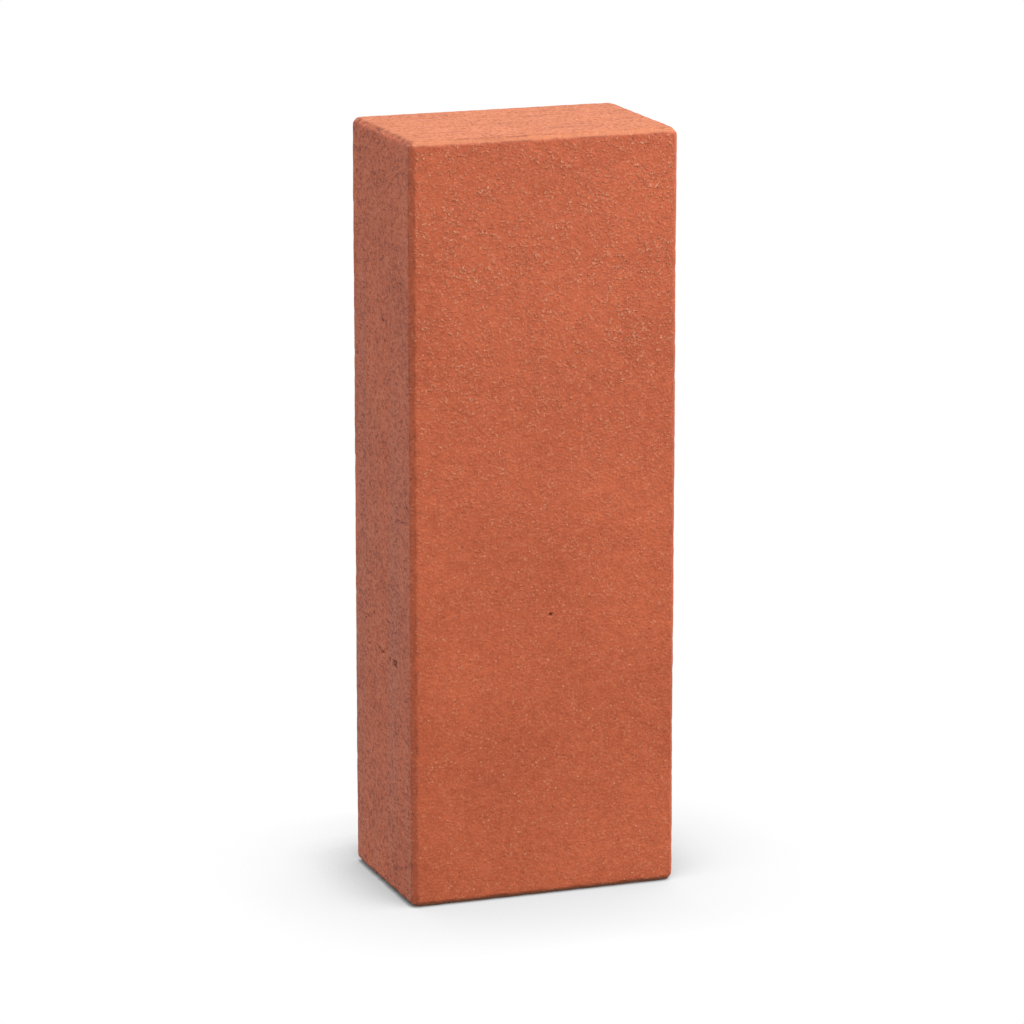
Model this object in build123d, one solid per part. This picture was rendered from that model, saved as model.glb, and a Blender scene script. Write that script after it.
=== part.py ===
"""Clay paver: one solid block of fired clay, brick shaped, standing on its end.

The origin is at the centre of the lower end. +Z runs up the length, X across the width,
and Y through the thickness, with the wearing face at -Y and the bed face at +Y.
All sizes are in millimetres.
"""

import os

from build123d import *

# Driving dimensions
LENGTH = 215.0        # end to end, along Z
WIDTH = 78.0          # across the wearing face, along X
THICKNESS = 50.0      # wearing face to bed face, along Y
LONG_BEVEL = 1.3      # leg of the bevel on the four long edges, formed by the die
END_BEVEL = 1.3       # leg of the bevel round the two ends, dressed after cutting
ARRIS_RADIUS = 0.4    # softening of the lines where bevels meet faces and each other

OUTPUT_FOLDER = "parts"


def die_section():
    """The section that the die gives the clay: a rectangle with its four corners bevelled."""
    outline = Rectangle(WIDTH, THICKNESS)
    return chamfer(outline.vertices(), LONG_BEVEL)


def end_edges(block):
    """The closed loops of edges round the lower and the upper end."""
    by_height = block.edges().group_by(Axis.Z)
    return by_height[0] + by_height[-1]


def clay_paver():
    """The section extruded to length, its ends bevelled, and every arris softened."""
    block = extrude(die_section(), LENGTH)
    block = chamfer(end_edges(block), END_BEVEL)
    return fillet(block.edges(), ARRIS_RADIUS)


os.makedirs(OUTPUT_FOLDER, exist_ok=True)
paver = clay_paver()
paver.label = "paver"
export_step(paver, os.path.join(OUTPUT_FOLDER, "paver.step"))
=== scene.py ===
import math
import random

import bmesh
import bpy
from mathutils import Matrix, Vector, kdtree, noise


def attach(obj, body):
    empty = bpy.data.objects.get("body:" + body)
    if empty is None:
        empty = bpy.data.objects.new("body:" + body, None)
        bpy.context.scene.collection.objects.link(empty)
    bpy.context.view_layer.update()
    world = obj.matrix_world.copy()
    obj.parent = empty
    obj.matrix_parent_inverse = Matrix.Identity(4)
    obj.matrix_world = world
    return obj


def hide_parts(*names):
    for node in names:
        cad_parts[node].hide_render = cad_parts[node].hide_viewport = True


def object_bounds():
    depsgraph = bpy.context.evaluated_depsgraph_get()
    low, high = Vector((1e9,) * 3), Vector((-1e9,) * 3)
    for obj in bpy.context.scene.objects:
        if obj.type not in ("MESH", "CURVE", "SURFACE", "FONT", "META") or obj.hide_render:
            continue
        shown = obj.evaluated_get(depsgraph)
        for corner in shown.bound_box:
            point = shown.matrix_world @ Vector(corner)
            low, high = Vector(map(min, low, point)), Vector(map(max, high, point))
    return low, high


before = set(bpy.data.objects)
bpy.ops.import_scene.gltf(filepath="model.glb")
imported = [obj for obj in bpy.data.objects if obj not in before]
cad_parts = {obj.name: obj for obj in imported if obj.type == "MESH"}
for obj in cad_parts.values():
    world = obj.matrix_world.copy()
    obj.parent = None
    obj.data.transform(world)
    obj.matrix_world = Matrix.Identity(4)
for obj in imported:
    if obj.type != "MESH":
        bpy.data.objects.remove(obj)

CAD_LOW, CAD_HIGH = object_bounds()

# Lengths are in metres, and MM turns millimetres into them
MM = 0.001

# Block
PAVER_NODE = "paver"
PAVER_PIECE = "fired_paver"
BEVEL_LEG = 1.3 * MM            # flat bevel along every edge
ARRIS_ROUND = 0.38 * MM         # softening of the lines on both sides of a bevel
HOLDING_GAP = 0.35 * MM         # loop beside each arris that keeps the faces flat right up to it
BEVEL_CUTS = 2                  # loops along the middle of each bevel
GRID = 0.88 * MM                # spacing of the mesh that carries the relief
SHORTEST_GRIDDED_EDGE = 10 * MM
SHORTEST_BEVEL_EDGE = 0.9 * MM  # an edge across a bevel is longer, and one across an arris shorter
ALONG_AXIS = 0.999              # least share of a gridded edge that runs along its axis
ACROSS_BEVEL = 0.95             # most of an edge across a bevel that runs along one axis

# Relief patterns: lengths along X, Y and Z in millimetres, a shift for each, limits of its noise
WAVE = ((38, 38, 38), 0.0, (0.0, 1.0))          # slow unevenness from drying and firing
PEEL = ((5, 5, 5), 7.0, (0.0, 1.0))             # soft orange peel of the pressed skin
PATCH = ((11, 11, 11), 0.0, (0.32, 0.68))       # where the skin is rough
TORN = ((2.4, 2.4, 2.4), 0.0, (0.45, 0.75))     # torn, dragged skin in the rough patches
DRAG = ((24, 2, 24), 3.1, (0.62, 0.80))         # lines that the cutting wire drags over the ends
STREAK = ((2.2, 2.2, 16), 5.7, (0.50, 0.80))    # upright streaks that the die leaves on the narrow sides
NICK = ((3.0, 3.0, 3.0), 11.0, (0.52, 0.80))    # small bites along the bevels
BITE = ((1.5, 1.5, 1.5), 17.0, (0.50, 0.66))    # ragged bites where the ends meet the narrow sides
RAGGED = ((0.6, 0.6, 0.6), 0.0, (0.0, 1.0))     # uneven rims of the pits

# Depths of the relief below the flat faces
WAVE_DEPTH = 0.12 * MM
PEEL_DEPTH = 0.06 * MM
TORN_DEPTH = 0.08 * MM
DRAG_DEPTH = 0.05 * MM
STREAK_DEPTH = 0.05 * MM
NICK_DEPTH = 0.10 * MM
BITE_DEPTH = 0.16 * MM
SCORE_DEPTH = 0.06 * MM         # dashes along the lines of the bevels
CORNER_WEAR = 0.15 * MM         # extra wear at the eight corners

# Where the wear lies
ARRIS_EDGE = (0.9 * BEVEL_LEG, BEVEL_LEG + 1.2 * MM)    # where the wear of a bevel fades out
LINE_REACH = 0.7 * MM           # half width of the dashes along the lines of a bevel
DASH_ALONG = 4.0                # their length and spacing in millimetres
DASH_ACROSS = 2.5
DASH_SHIFT = 23.0
DASH_LIMITS = (0.45, 0.65)
CORNER_EDGE = (0.5 * BEVEL_LEG, 2.5 * BEVEL_LEG)
UPPER_PART = (0.30, 0.90)       # shares of the height between which the large faces grow rough
LARGE_FACE_ROUGH = (0.20, 1.00)    # how torn they are at the lower and at the upper end
NARROW_FACE_ROUGH = 0.55        # how torn the narrow sides and the ends are
PATCH_ROUGH = (0.75, 1.00)      # share of that between the rough patches and in them
BEVEL_ROUGH = 0.60              # share of it that is left on a bevel
END_TILT = (0.25, 0.75)         # squared upward part of the normal where a bevel turns into an end

# Shares that the clay reads at each vertex
MASKS = ("arris", "score", "rough", "drag", "pit", "side", "end", "highlit_bevel", "bitten")

# Faces: axis, and 0 for its lower or 1 for its upper side
WEARING_FACE = (1, 0)
LEFT_SIDE = (0, 0)
HIDDEN_FACES = ((0, 1), (1, 1), (2, 0))

# Pits, in millimetres: place on the face (across, up), half width, half height and depth
WEARING_FACE_PITS = [
    ((1.9, 80.9), 0.65, 0.50, 0.55),
]
LEFT_SIDE_PITS = [
    ((2.9, 68.3), 1.1, 0.50, 0.60),
    ((0.0, 67.7), 1.3, 0.60, 0.70),
    ((-6.1, 67.1), 1.1, 0.50, 0.60),
    ((-10.8, 67.3), 1.5, 0.65, 0.80),
    ((-11.1, 66.2), 1.2, 0.50, 0.60),
    ((12.3, 75.1), 0.9, 0.40, 0.45),
    ((7.5, 77.1), 0.8, 0.45, 0.40),
    ((-4.5, 77.4), 0.9, 0.45, 0.45),
    ((11.4, 67.4), 0.8, 0.35, 0.35),
    ((9.2, 55.1), 0.8, 0.35, 0.35),
    ((-1.8, 162.2), 1.0, 0.50, 0.50),
    ((-3.4, 156.9), 0.9, 0.40, 0.45),
]
STRAY_PITS_PER_FACE = 6
STRAY_PIT_HALF_WIDTH = (0.5, 1.0)
STRAY_PIT_HALF_HEIGHT = (0.3, 0.5)
STRAY_PIT_DEPTH = (0.25, 0.5)
STRAY_PIT_SEED = 7
PIT_MARGIN = 6                  # least distance of a stray pit from the edges
PIT_REACH = 2                   # half sizes over which a pit's rim is uneven
PIT_CUTS = 2                    # how much finer the mesh is in a pit
PIT_WALL = (0.35, 1.15)         # half sizes between which a pit's wall rises
PIT_RIM = (0.65, 1.35)          # how far its rim wanders

# Clay: colours
BODY_DARK = "#A94C2C"
BODY_LIGHT = "#D26943"
CUT_END = "#B26A37"
# painted shade on the bevels, which face away from the light
BEVEL_SHADE_RED = "#A5452A"
# painted highlight on the bevels between the ends and the large faces
BEVEL_HIGHLIGHT_PALE = "#C08560"
FLUSH_MAUVE = "#A86453"
PALE_GRAIN = "#DE9672"
# dark red of the specks, bites and dashes, and also the painted shade in the pores and the wire lines
DEEP_RED_AND_SHADE = "#7C3521"
# painted shade in the pits
PIT_SHADE_BROWN = "#57210F"

# Clay: sizes of the patterns in millimetres, with sand and grain as coarse as they need to show
DRIFT_SIZE = 34
MOTTLE_SIZE = 2.2
GRAIN_SIZE = 0.75
SKIN_SIZE = 0.85
CLUMP_SIZE = 6
PORE_SIZES = (1.1, 1.8, 1.0)
FLUSH_SIZES = (9, 9, 160)
SAND_SIZE = 0.6
GRIT_SIZE = 1.1
FINE_DETAIL = 3.0               # times that the grain and the torn skin halve their size
FINE_ROUGHNESS = 0.60           # share of the height that is left each time

# Clay: noise levels where a pattern begins and where it is full
CLUMP_LEVELS = (0.35, 0.65)
CRUMB_LEVELS = (0.50, 0.66)
CRUMB_TOP_LEVELS = (0.57, 0.70)
PORE_LEVELS = (0.51, 0.72)
SKIN_LEVELS = (0.54, 0.42)
FLUSH_LEVELS = (0.47, 0.68)
SAND_LEVELS = (0.60, 0.74)
TONE_LEVELS = (1.15, 2.35)      # darkest and lightest sum of drift, mottling and grain
DOT_EDGE = (0.36, 0.14)         # distance from the middle of a cell, in cells
PALE_CELLS = (0.82, 1.00)       # random numbers of the cells that hold a pale grain
DARK_CELLS = (0.14, 0.00)       # and of those that hold a dark speck

# Clay: shares of a colour where its pattern is full
GRAIN_TONE = 1.5                # weight of the grain beside the drift and the mottling
CLUMP_SHARES = (0.55, 1.25)     # crumbs, pores and sand outside the clumps and in them
CALM_SHARES = (1.5, 0.3)        # pale skin outside the clumps and in them
END_TINT = 0.50
BEVEL_SHADE_TINT = 0.12
BEVEL_HIGHLIGHT_TINT = 0.40
FLUSH_TINT = 0.44
# painted highlight on the tops of the crumbs
CRUMB_HIGHLIGHT_TINT = 0.80
SKIN_TINT = 0.18
SAND_TINT = 0.40
GRIT_TINT = 0.70
SPECK_TINT = 0.50
END_PORES = 0.80                # pores of the ends beside those of the narrow sides
BEVEL_PORES = 0.45              # share of the pores that is left on a bevel
# painted shade in the open pores
PORE_SHADE_TINT = 0.76
BITE_TINT = 0.60
SCORE_TINT = 0.55
# painted shade in the lines that the cutting wire drags over the ends
DRAG_SHADE_TINT = 0.26

# Clay: heights of the fine grain in millimetres
CRUMB_HEIGHT = 0.15
GRAIN_HEIGHT = 0.19
END_GRAIN_HEIGHT = 0.12
GRIT_HEIGHT = 0.10
SPECK_HEIGHT = -0.14
PORE_HEIGHT = -0.13

# Clay: finish
CLAY_ROUGHNESS = 0.65
CLAY_IOR = 1.44

# Camera
CAMERA_AIM = Vector((-0.5 * MM, 0.0, 104.7 * MM))
CAMERA_DISTANCE = 1.402
CAMERA_AZIMUTH = math.radians(-20.11)
CAMERA_ELEVATION = math.radians(13.30)
CAMERA_LENS_MM = 176.1
SENSOR_MM = 36.0

# Light
DOME_HORIZON = 0.48             # level of the studio dome at the horizon
DOME_RISE = 1.64                # how much brighter it is overhead
KEY_AZIMUTH = math.radians(50)
KEY_ELEVATION = math.radians(33)
KEY_DISTANCE = 0.65
KEY_SIZE = 0.40
KEY_WATTS = 2.58
FLOOR_SIZE = 12.0
FLOOR_BOUNCE = 0.04             # floor's grey for the light that it sends back to the paver

# Shadow on the floor: reach, direction of the sky that is counted, and the white that its loss takes
SHADOW_LOBES = [
    (16 * MM, (0.6, -4.0, 1.0), 0.29),      # close behind the paver, to the left
    (24 * MM, (0.0, -4.0, 1.0), 0.40),      # behind it
    (46 * MM, (-1.2, -4.0, 1.0), 0.40),     # further behind it, to the right
    (46 * MM, (0.6, 1.2, 1.0), 0.28),       # in front of it, to the left
    (1.4 * MM, (1.0, -0.3, 0.8), 0.40),     # contact line along the foot of its left side
]
DARKEST_FLOOR = 0.03            # level of white that the deepest shadow keeps
SHADOW_SAMPLES = 4              # rays for each lobe and each ray from the camera

# Kinds of node that are used often, and the limits that a range node takes and gives
MATH = "ShaderNodeMath"
NOISE = "ShaderNodeTexNoise"
RANGE = "ShaderNodeMapRange"
MIX = "ShaderNodeMix"
TAKES = ("From Min", "From Max")
GIVES = ("To Min", "To Max")


def linear(hex_colour, alpha=1.0):
    """An sRGB hex colour as linear red, green, blue and alpha."""
    channels = [int(hex_colour[i:i + 2], 16) / 255 for i in (1, 3, 5)]
    curve = [c / 12.92 if c <= 0.04045 else ((c + 0.055) / 1.055) ** 2.4 for c in channels]
    return (*curve, alpha)


def add(tree, kind, inputs=None, out=0, **settings):
    """Adds a node, sets its properties, fills its inputs with values or links, and returns an output."""
    node = tree.nodes.new(kind)
    for name, value in settings.items():
        setattr(node, name, value)
    for key, value in (inputs or {}).items():
        socket = next(s for s in node.inputs if s.enabled and key in (s.name, s.identifier))
        if isinstance(value, bpy.types.NodeSocket):
            tree.links.new(value, socket)
        else:
            socket.default_value = value
    outputs = [s for s in node.outputs if s.enabled]
    return node.outputs[out] if isinstance(out, str) else (outputs[out] if outputs else node)


def per_metre(size_mm):
    """A texture scale that gives features of about this size."""
    return 1 / (size_mm * MM)


def smoothstep(low, high, value):
    """0 below low, 1 above high, and an easy curve between."""
    t = min(max((value - low) / (high - low), 0.0), 1.0)
    return t * t * (3 - 2 * t)


def between(low, high, share):
    """The value that lies this share of the way from low to high."""
    return low + (high - low) * share


def pattern(point, kind):
    """Smooth noise as a share from 0 to 1, with a length of its own along each axis."""
    lengths, shift, limits = kind
    value = noise.noise(Vector([point[i] / (lengths[i] * MM) + shift for i in range(3)]))
    return smoothstep(*limits, 0.5 + 0.5 * value)


# Block


def bevelled_block():
    """A block of the part's size with a flat bevel on each edge and softened arrises."""
    block = bmesh.new()
    bmesh.ops.create_cube(block, size=1.0)
    bmesh.ops.scale(block, vec=CAD_HIGH - CAD_LOW, verts=block.verts)
    bmesh.ops.translate(block, vec=(CAD_LOW + CAD_HIGH) / 2, verts=block.verts)
    for leg, segments in ((BEVEL_LEG, 1), (ARRIS_ROUND, 2)):
        bmesh.ops.bevel(block, geom=block.edges[:], offset=leg, offset_type="OFFSET", affect="EDGES",
                        segments=segments, profile=0.5, material=-1)
    return block


def add_holding_loops(block):
    """Cuts a loop beside each arris, so that only the arris itself is shaded round."""
    inset = BEVEL_LEG + ARRIS_ROUND + HOLDING_GAP
    for axis in range(3):
        direction = Vector([float(i == axis) for i in range(3)])
        for level in (CAD_LOW[axis] + inset, CAD_HIGH[axis] - inset):
            bmesh.ops.bisect_plane(block, geom=block.verts[:] + block.edges[:] + block.faces[:],
                                   plane_co=level * direction, plane_no=direction)


def cut_grid(block):
    """Cuts the long edges at the grid's spacing, one axis after the other, and the bevels across."""
    for axis in range(3):
        long_edges = []
        for edge in block.edges:
            run = edge.verts[1].co - edge.verts[0].co
            if abs(run[axis]) > max(SHORTEST_GRIDDED_EDGE, ALONG_AXIS * run.length):
                long_edges.append(edge)
        longest = max(edge.calc_length() for edge in long_edges)
        cuts = round(longest / GRID) - 1
        bmesh.ops.subdivide_edges(block, edges=long_edges, cuts=cuts, use_grid_fill=True)
    across = []
    for edge in block.edges:
        run = edge.verts[1].co - edge.verts[0].co
        slanted = max(abs(step) for step in run) < ACROSS_BEVEL * run.length
        if slanted and run.length > SHORTEST_BEVEL_EDGE:
            across.append(edge)
    bmesh.ops.subdivide_edges(block, edges=across, cuts=BEVEL_CUTS, use_grid_fill=True)


def face_pit(axis, side, place, half_width, half_height, depth):
    """Centre, half sizes and depth of a pit.

    Axis 0 is for the narrow sides, 1 for the large faces and 2 for the ends.
    """
    centre = (CAD_LOW, CAD_HIGH)[side].copy()
    half_sizes = Vector((half_width, half_width, half_width)) * MM
    across, up = [i for i in range(3) if i != axis]
    centre[across], centre[up] = place[0] * MM, place[1] * MM
    half_sizes[up] = half_height * MM
    return centre, half_sizes, depth * MM


def all_pits():
    """The pits seen on two faces, and a few strays on the hidden ones."""
    pits = [face_pit(*WEARING_FACE, *pit) for pit in WEARING_FACE_PITS]
    pits += [face_pit(*LEFT_SIDE, *pit) for pit in LEFT_SIDE_PITS]
    stray = random.Random(STRAY_PIT_SEED)
    for axis, side in HIDDEN_FACES:
        ranges = []
        for i in range(3):
            if i != axis:
                ranges.append((CAD_LOW[i] / MM + PIT_MARGIN, CAD_HIGH[i] / MM - PIT_MARGIN))
        for _ in range(STRAY_PITS_PER_FACE):
            place = [stray.uniform(*limits) for limits in ranges]
            sizes = [stray.uniform(*STRAY_PIT_HALF_WIDTH), stray.uniform(*STRAY_PIT_HALF_HEIGHT)]
            pits.append(face_pit(axis, side, place, *sizes, stray.uniform(*STRAY_PIT_DEPTH)))
    return pits


def vertex_finder(block):
    """A search tree over the block's vertices."""
    block.verts.ensure_lookup_table()
    finder = kdtree.KDTree(len(block.verts))
    for index, vert in enumerate(block.verts):
        finder.insert(vert.co, index)
    finder.balance()
    return finder


def refine_pits(block, pits):
    """Cuts the mesh finer round each pit, so that its wall has a shape."""
    finder = vertex_finder(block)
    near = set()
    for centre, half_sizes, _ in pits:
        reach = PIT_REACH * max(half_sizes) + GRID
        reached = {block.verts[index] for _, index, _ in finder.find_range(centre, reach)}
        for vert in reached:
            near.update(edge for edge in vert.link_edges if edge.other_vert(vert) in reached)
    bmesh.ops.subdivide_edges(block, edges=list(near), cuts=PIT_CUTS, use_grid_fill=True)


def pit_depths(block, pits):
    """For each vertex in a pit, the pit's depth there and how far down its bowl it is."""
    finder = vertex_finder(block)
    found = {}
    for centre, half_sizes, depth in pits:
        for place, index, _ in finder.find_range(centre, PIT_REACH * max(half_sizes)):
            distance = Vector([(place[i] - centre[i]) / half_sizes[i] for i in range(3)]).length
            share = 1 - smoothstep(*PIT_WALL, distance * between(*PIT_RIM, pattern(place, RAGGED)))
            vert = block.verts[index]
            if share > found.get(vert, (0.0, 0.0))[1]:
                found[vert] = (depth * share, share)
    return found


def face_distances(point):
    """Along each axis, the distance to the nearer of the two faces of the full box."""
    return [min(point[i] - CAD_LOW[i], CAD_HIGH[i] - point[i]) for i in range(3)]


def arris_share(point):
    """1 on a bevel, falling to 0 where the face beside it is clean."""
    return 1 - smoothstep(*ARRIS_EDGE, sorted(face_distances(point))[1])


def corner_share(point):
    """1 at a corner, 0 along the edges."""
    return 1 - smoothstep(*CORNER_EDGE, max(face_distances(point)))


def score_share(point):
    """1 in the dashes that run along the lines where a bevel meets a face."""
    distances = face_distances(point)
    nearest, second, furthest = sorted(distances)
    line = 1 - smoothstep(0.0, LINE_REACH, abs(second - BEVEL_LEG) + nearest)
    lengths = [DASH_ALONG if distance == furthest else DASH_ACROSS for distance in distances]
    return line * pattern(point, (lengths, DASH_SHIFT, DASH_LIMITS))


def rough_share(point, normal, arris):
    """How torn the skin is: in patches, most at the top of the large faces, least on the bevels."""
    height = (point.z - CAD_LOW.z) / (CAD_HIGH.z - CAD_LOW.z)
    large_face = between(*LARGE_FACE_ROUGH, smoothstep(*UPPER_PART, height))
    amount = between(NARROW_FACE_ROUGH, large_face, normal.y ** 2)
    return amount * between(*PATCH_ROUGH, pattern(point, PATCH)) * between(1.0, BEVEL_ROUGH, arris)


def surface_shares(point, normal, pit):
    """Shares from 0 to 1 that the relief and the clay's colour read at a point of the surface."""
    arris = arris_share(point)
    return {
        "arris": arris,
        "score": score_share(point),
        "rough": rough_share(point, normal, arris),
        "drag": abs(normal.z) * pattern(point, DRAG),
        "pit": pit,
        "side": normal.x ** 2,
        "end": smoothstep(*END_TILT, normal.z ** 2),
        # painted highlight: 1 on the bevels between the ends and the large faces
        "highlit_bevel": (2 * normal.y * normal.z) ** 2,
        "bitten": (2 * normal.x * normal.z) ** 2 * pattern(point, BITE),
    }


def relief_depth(point, normal, shares):
    """How far the fired surface lies below the flat block."""
    depth = WAVE_DEPTH * pattern(point, WAVE)
    depth += PEEL_DEPTH * pattern(point, PEEL)
    depth += TORN_DEPTH * shares["rough"] * pattern(point, TORN)
    depth += DRAG_DEPTH * shares["drag"]
    depth += STREAK_DEPTH * abs(normal.x) * pattern(point, STREAK)
    depth += NICK_DEPTH * shares["arris"] * pattern(point, NICK)
    depth += BITE_DEPTH * shares["bitten"]
    depth += SCORE_DEPTH * shares["score"]
    return depth + CORNER_WEAR * corner_share(point)


def fired_paver():
    """The whole paver as one mesh, with its relief and its masks for the clay's colour."""
    block = bevelled_block()
    add_holding_loops(block)
    cut_grid(block)
    pits = all_pits()
    refine_pits(block, pits)
    bmesh.ops.recalc_face_normals(block, faces=block.faces[:])
    block.normal_update()
    layers = {name: block.verts.layers.float.new(name) for name in MASKS}
    in_pits = pit_depths(block, pits)
    moved = []
    for vert in block.verts:
        pit_depth, pit = in_pits.get(vert, (0.0, 0.0))
        shares = surface_shares(vert.co, vert.normal, pit)
        for name in MASKS:
            vert[layers[name]] = shares[name]
        depth = relief_depth(vert.co, vert.normal, shares) + pit_depth
        moved.append((vert, vert.co - depth * vert.normal))
    for vert, place in moved:
        vert.co = place
    for face in block.faces:
        face.smooth = True
    mesh = bpy.data.meshes.new(PAVER_PIECE)
    block.to_mesh(mesh)
    block.free()
    piece = bpy.data.objects.new(PAVER_PIECE, mesh)
    bpy.context.scene.collection.objects.link(piece)
    return piece


# Clay


def fired_clay():
    """Unglazed fired clay, extruded through a die and cut to length with a wire."""
    # To the eye it is matt, sandy and orange-red, with pale grains, dark specks and open pores
    material = bpy.data.materials.new("fired_clay")
    material.use_nodes = True
    tree = material.node_tree
    tree.nodes.clear()
    place = add(tree, "ShaderNodeTexCoord", out="Object")
    masks = {}
    for name in MASKS:
        masks[name] = add(tree, "ShaderNodeAttribute", out="Fac", attribute_name=name)

    # Patterns: slow drift of tone from the fire, mottling, sandy grain, and crumbs of torn skin in clumps
    drift = add(tree, NOISE, {"Vector": place, "Scale": per_metre(DRIFT_SIZE), "Detail": 1.0})
    mottle = add(tree, NOISE, {"Vector": place, "Scale": per_metre(MOTTLE_SIZE), "Detail": 2.0})
    grain = add(tree, NOISE, {"Vector": place, "Scale": per_metre(GRAIN_SIZE), "Detail": FINE_DETAIL,
                              "Roughness": FINE_ROUGHNESS})
    skin = add(tree, NOISE, {"Vector": place, "Scale": per_metre(SKIN_SIZE), "Detail": FINE_DETAIL,
                             "Roughness": FINE_ROUGHNESS, "Distortion": 0.25})
    clumps = add(tree, NOISE, {"Vector": place, "Scale": per_metre(CLUMP_SIZE), "Detail": 1.0})
    clump_share = add(tree, RANGE, {"Value": clumps,
                                    **dict(zip(TAKES + GIVES, CLUMP_LEVELS + CLUMP_SHARES))})
    crumbly = add(tree, MATH, {"Value": masks["rough"], "Value_001": clump_share}, operation="MULTIPLY")
    crumbs = add(tree, RANGE, {"Value": skin, **dict(zip(TAKES, CRUMB_LEVELS))},
                 interpolation_type="SMOOTHSTEP")
    # tops of the crumbs, which get a painted highlight
    crumb_tops = add(tree, RANGE, {"Value": skin, **dict(zip(TAKES, CRUMB_TOP_LEVELS))})

    # Open pores on the narrow sides and the cut ends, in clumps, with paler skin where the clumps are calm
    unpressed = add(tree, MATH, {"Value": masks["end"], "Value_001": END_PORES,
                                 "Value_002": masks["side"]}, operation="MULTIPLY_ADD")
    off_bevels = add(tree, RANGE, {"Value": masks["arris"], "To Min": 1.0, "To Max": BEVEL_PORES})
    open_faces = add(tree, MATH, {"Value": unpressed, "Value_001": off_bevels}, operation="MULTIPLY")
    pore_place = add(tree, "ShaderNodeMapping", {"Vector": place,
                                                 "Scale": [per_metre(size) for size in PORE_SIZES]})
    pore_noise = add(tree, NOISE, {"Vector": pore_place, "Scale": 1.0, "Detail": 2.0, "Roughness": 0.6})
    pore = add(tree, RANGE, {"Value": pore_noise, **dict(zip(TAKES, PORE_LEVELS))})
    clumped_pore = add(tree, MATH, {"Value": pore, "Value_001": clump_share}, operation="MULTIPLY")
    pores = add(tree, MATH, {"Value": clumped_pore, "Value_001": open_faces}, operation="MULTIPLY")
    skin_between = add(tree, RANGE, {"Value": pore_noise, **dict(zip(TAKES, SKIN_LEVELS)),
                                     "To Max": SKIN_TINT})
    calm_share = add(tree, RANGE, {"Value": clumps,
                                   **dict(zip(TAKES + GIVES, CLUMP_LEVELS + CALM_SHARES))})
    calm_faces = add(tree, MATH, {"Value": open_faces, "Value_001": calm_share}, operation="MULTIPLY")
    pale_skin = add(tree, MATH, {"Value": skin_between, "Value_001": calm_faces}, operation="MULTIPLY")

    # Body colour, more orange on the cut ends, darker and redder on the bevels as painted shade, paler on
    # the bevels between the ends and the large faces as a painted highlight
    slow = add(tree, MATH, {"Value": drift, "Value_001": mottle}, operation="ADD")
    tone = add(tree, MATH, {"Value": grain, "Value_001": GRAIN_TONE, "Value_002": slow},
               operation="MULTIPLY_ADD")
    share = add(tree, RANGE, {"Value": tone, **dict(zip(TAKES, TONE_LEVELS))})
    body = add(tree, MIX, {"Factor": share, "A": linear(BODY_DARK), "B": linear(BODY_LIGHT)},
               data_type="RGBA")
    at_ends = add(tree, MATH, {"Value": masks["end"], "Value_001": END_TINT}, operation="MULTIPLY")
    cut_body = add(tree, MIX, {"Factor": at_ends, "A": body, "B": linear(CUT_END)}, data_type="RGBA")
    # Painted shade: the bevels are darkened towards a deeper red
    shaded_bevels = add(tree, MATH, {"Value": masks["arris"], "Value_001": BEVEL_SHADE_TINT}, operation="MULTIPLY")
    bevel_shaded = add(tree, MIX, {"Factor": shaded_bevels, "A": cut_body, "B": linear(BEVEL_SHADE_RED)},
                   data_type="RGBA")
    # Painted highlight on the bevels between the ends and the large faces
    at_highlight = add(tree, MATH, {"Value": masks["highlit_bevel"], "Value_001": BEVEL_HIGHLIGHT_TINT},
                    operation="MULTIPLY")
    highlighted = add(tree, MIX, {"Factor": at_highlight, "A": bevel_shaded, "B": linear(BEVEL_HIGHLIGHT_PALE)},
                data_type="RGBA")

    # Slow mauve flush up the narrow sides
    tall = add(tree, "ShaderNodeMapping", {"Vector": place,
                                           "Scale": [per_metre(size) for size in FLUSH_SIZES]})
    flush = add(tree, NOISE, {"Vector": tall, "Scale": 1.0, "Detail": 1.0})
    flush_band = add(tree, RANGE, {"Value": flush, **dict(zip(TAKES, FLUSH_LEVELS)),
                                   "To Max": FLUSH_TINT})
    flush_side = add(tree, MATH, {"Value": flush_band, "Value_001": masks["side"]}, operation="MULTIPLY")
    flushed = add(tree, MIX, {"Factor": flush_side, "A": highlighted, "B": linear(FLUSH_MAUVE)},
                  data_type="RGBA")

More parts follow.
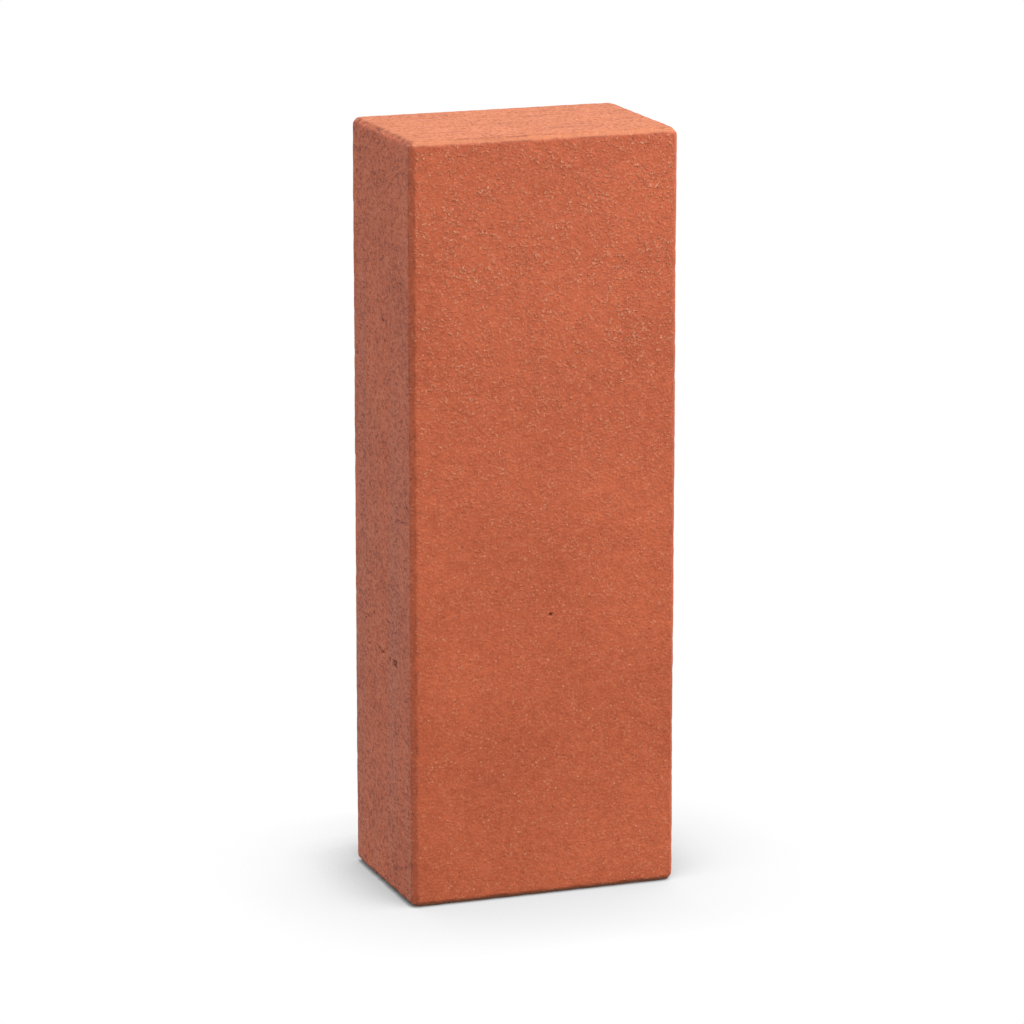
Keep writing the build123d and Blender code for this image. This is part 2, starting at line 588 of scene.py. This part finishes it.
    # Painted highlight on the tops of the crumbs, fine sand, and in a few cells of a cell pattern pale
    # grains and dark iron specks
    crumb_highlight = add(tree, MATH, {"Value": crumb_tops, "Value_001": crumbly}, operation="MULTIPLY")
    sand_noise = add(tree, NOISE, {"Vector": place, "Scale": per_metre(SAND_SIZE), "Detail": 1.0})
    sand = add(tree, RANGE, {"Value": sand_noise, **dict(zip(TAKES, SAND_LEVELS)), "To Max": SAND_TINT})
    sandy_skin = add(tree, MATH, {"Value": sand, "Value_001": clump_share, "Value_002": pale_skin},
                     operation="MULTIPLY_ADD")
    skin_and_highlight = add(tree, MATH, {"Value": crumb_highlight, "Value_001": CRUMB_HIGHLIGHT_TINT, "Value_002": sandy_skin},
                    operation="MULTIPLY_ADD")
    grit = add(tree, "ShaderNodeTexVoronoi", {"Vector": place, "Scale": per_metre(GRIT_SIZE)},
               out="Distance")
    chosen = add(tree, "ShaderNodeSeparateColor", {"Color": grit.node.outputs["Color"]}, out="Red")
    dot = add(tree, RANGE, {"Value": grit, **dict(zip(TAKES, DOT_EDGE))})
    is_pale = add(tree, RANGE, {"Value": chosen, **dict(zip(TAKES, PALE_CELLS)), "To Max": GRIT_TINT})
    is_dark = add(tree, RANGE, {"Value": chosen, **dict(zip(TAKES, DARK_CELLS)), "To Max": SPECK_TINT})
    grains = add(tree, MATH, {"Value": dot, "Value_001": is_pale}, operation="MULTIPLY")
    specks = add(tree, MATH, {"Value": dot, "Value_001": is_dark}, operation="MULTIPLY")
    pale = add(tree, MATH, {"Value": grains, "Value_001": skin_and_highlight}, operation="ADD", use_clamp=True)
    sanded = add(tree, MIX, {"Factor": pale, "A": flushed, "B": linear(PALE_GRAIN)}, data_type="RGBA")

    # Darker: painted shade in the pores, the wire lines and the pits, and the clay's own dark specks,
    # bites and dashes along the bevels
    pore_shade_and_specks = add(tree, MATH, {"Value": pores, "Value_001": PORE_SHADE_TINT, "Value_002": specks},
                operation="MULTIPLY_ADD")
    bitten = add(tree, MATH, {"Value": masks["bitten"], "Value_001": BITE_TINT, "Value_002": pore_shade_and_specks},
                 operation="MULTIPLY_ADD")
    scored = add(tree, MATH, {"Value": masks["score"], "Value_001": SCORE_TINT, "Value_002": bitten},
                 operation="MULTIPLY_ADD")
    # Painted shade in the wire lines
    deep = add(tree, MATH, {"Value": masks["drag"], "Value_001": DRAG_SHADE_TINT, "Value_002": scored},
               operation="MULTIPLY_ADD", use_clamp=True)
    darkened_clay = add(tree, MIX, {"Factor": deep, "A": sanded, "B": linear(DEEP_RED_AND_SHADE)}, data_type="RGBA")
    # Painted shade in the pits
    colour = add(tree, MIX, {"Factor": masks["pit"], "A": darkened_clay, "B": linear(PIT_SHADE_BROWN)},
                 data_type="RGBA")

    # Heights in millimetres, with a calmer grain on the ends that the wire has smoothed
    torn = add(tree, MATH, {"Value": crumbs, "Value_001": crumbly}, operation="MULTIPLY")
    torn_height = add(tree, MATH, {"Value": torn, "Value_001": CRUMB_HEIGHT}, operation="MULTIPLY")
    grain_height = add(tree, RANGE, {"Value": masks["end"], "To Min": GRAIN_HEIGHT,
                                     "To Max": END_GRAIN_HEIGHT})
    sandy_height = add(tree, MATH, {"Value": grain, "Value_001": grain_height, "Value_002": torn_height},
                       operation="MULTIPLY_ADD")
    gritty_height = add(tree, MATH, {"Value": grains, "Value_001": GRIT_HEIGHT,
                                     "Value_002": sandy_height}, operation="MULTIPLY_ADD")
    speckled_height = add(tree, MATH, {"Value": specks, "Value_001": SPECK_HEIGHT,
                                       "Value_002": gritty_height}, operation="MULTIPLY_ADD")
    height = add(tree, MATH, {"Value": pores, "Value_001": PORE_HEIGHT, "Value_002": speckled_height},
                 operation="MULTIPLY_ADD")
    relief = add(tree, "ShaderNodeBump", {"Height": height, "Strength": 1.0, "Distance": MM})
    clay = add(tree, "ShaderNodeBsdfPrincipled", {"Base Color": colour, "Roughness": CLAY_ROUGHNESS,
                                                  "IOR": CLAY_IOR, "Normal": relief})
    add(tree, "ShaderNodeOutputMaterial", {"Surface": clay})
    return material


# Studio


def seen_directly(tree):
    """1 for rays from the camera, or by way of a mirror or glass, and 0 for light on things."""
    camera = add(tree, "ShaderNodeLightPath", out="Is Camera Ray")
    path = camera.node.outputs
    shiny = add(tree, MATH, {"Value": path["Is Glossy Ray"], "Value_001": path["Is Transmission Ray"]},
                operation="MAXIMUM")
    return add(tree, MATH, {"Value": camera, "Value_001": shiny}, operation="MAXIMUM")


def studio_dome():
    """A soft dome, brighter overhead, that shows as plain white."""
    world = bpy.data.worlds.new("studio_dome")
    world.use_nodes = True
    tree = world.node_tree
    tree.nodes.clear()
    direction = add(tree, "ShaderNodeTexCoord", out="Generated")
    upward = add(tree, "ShaderNodeSeparateXYZ", {"Vector": direction}, out="Z")
    level = add(tree, MATH, {"Value": upward, "Value_001": DOME_RISE, "Value_002": DOME_HORIZON},
                operation="MULTIPLY_ADD")
    strength = add(tree, MIX, {"Factor": seen_directly(tree), "A": level, "B": 1.0}, data_type="FLOAT")
    background = add(tree, "ShaderNodeBackground", {"Color": linear("#FFFFFF"), "Strength": strength})
    add(tree, "ShaderNodeOutputWorld", {"Surface": background})
    bpy.context.scene.world = world


def spherical(azimuth, elevation):
    """The direction from the object to a camera or lamp there; azimuth 0 is the front."""
    flat = math.cos(elevation)
    return Vector((math.sin(azimuth) * flat, -math.cos(azimuth) * flat, math.sin(elevation)))


def place_towards_paver(item, azimuth, elevation, distance):
    """Puts a camera or lamp at a distance from the paver's middle, looking at it."""
    back = spherical(azimuth, elevation)
    item.location = CAMERA_AIM + distance * back
    item.rotation_euler = (-back).to_track_quat("-Z", "Y").to_euler()
    bpy.context.scene.collection.objects.link(item)


def key_lamp():
    """A soft round lamp at the upper right of the front."""
    lamp = bpy.data.lights.new("key_lamp", "AREA")
    lamp.shape = "DISK"
    lamp.size = KEY_SIZE
    lamp.energy = KEY_WATTS
    key = bpy.data.objects.new("key_lamp", lamp)
    place_towards_paver(key, KEY_AZIMUTH, KEY_ELEVATION, KEY_DISTANCE)


def white_floor():
    """A plain white floor with the paver's soft shadow at its foot."""
    plane = bmesh.new()
    bmesh.ops.create_grid(plane, x_segments=1, y_segments=1, size=FLOOR_SIZE / 2)
    mesh = bpy.data.meshes.new("white_floor")
    plane.to_mesh(mesh)
    plane.free()
    floor = bpy.data.objects.new("white_floor", mesh)
    bpy.context.scene.collection.objects.link(floor)
    material = bpy.data.materials.new("matt_white_floor")
    material.use_nodes = True
    tree = material.node_tree
    tree.nodes.clear()
    level = 1 - sum(loss for _, _, loss in SHADOW_LOBES)
    for reach, lean, loss in SHADOW_LOBES:
        towards = add(tree, "ShaderNodeCombineXYZ", dict(zip("XYZ", Vector(lean).normalized())))
        open_sky = add(tree, "ShaderNodeAmbientOcclusion", {"Distance": reach, "Normal": towards},
                       out="AO", samples=SHADOW_SAMPLES)
        level = add(tree, MATH, {"Value": open_sky, "Value_001": loss, "Value_002": level},
                    operation="MULTIPLY_ADD")
    shade = add(tree, MATH, {"Value": level, "Value_001": DARKEST_FLOOR}, operation="MAXIMUM")
    white = add(tree, "ShaderNodeEmission", {"Color": linear("#FFFFFF"), "Strength": shade})
    matt = add(tree, "ShaderNodeBsdfDiffuse", {"Color": (FLOOR_BOUNCE,) * 3 + (1.0,)})
    seen = add(tree, "ShaderNodeMixShader", {"Fac": seen_directly(tree), "Shader": matt,
                                             "Shader_001": white})
    add(tree, "ShaderNodeOutputMaterial", {"Surface": seen})
    mesh.materials.append(material)


def set_camera():
    """A long lens at the front left, a little above the paver."""
    camera = bpy.data.cameras.new("camera")
    camera.lens = CAMERA_LENS_MM
    camera.sensor_width = SENSOR_MM
    seat = bpy.data.objects.new("camera", camera)
    place_towards_paver(seat, CAMERA_AZIMUTH, CAMERA_ELEVATION, CAMERA_DISTANCE)
    bpy.context.scene.camera = seat


paver = fired_paver()
paver.data.materials.append(fired_clay())
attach(paver, "root")
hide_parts(PAVER_NODE)
studio_dome()
key_lamp()
white_floor()
set_camera()
bpy.context.scene.view_settings.view_transform = "Standard"
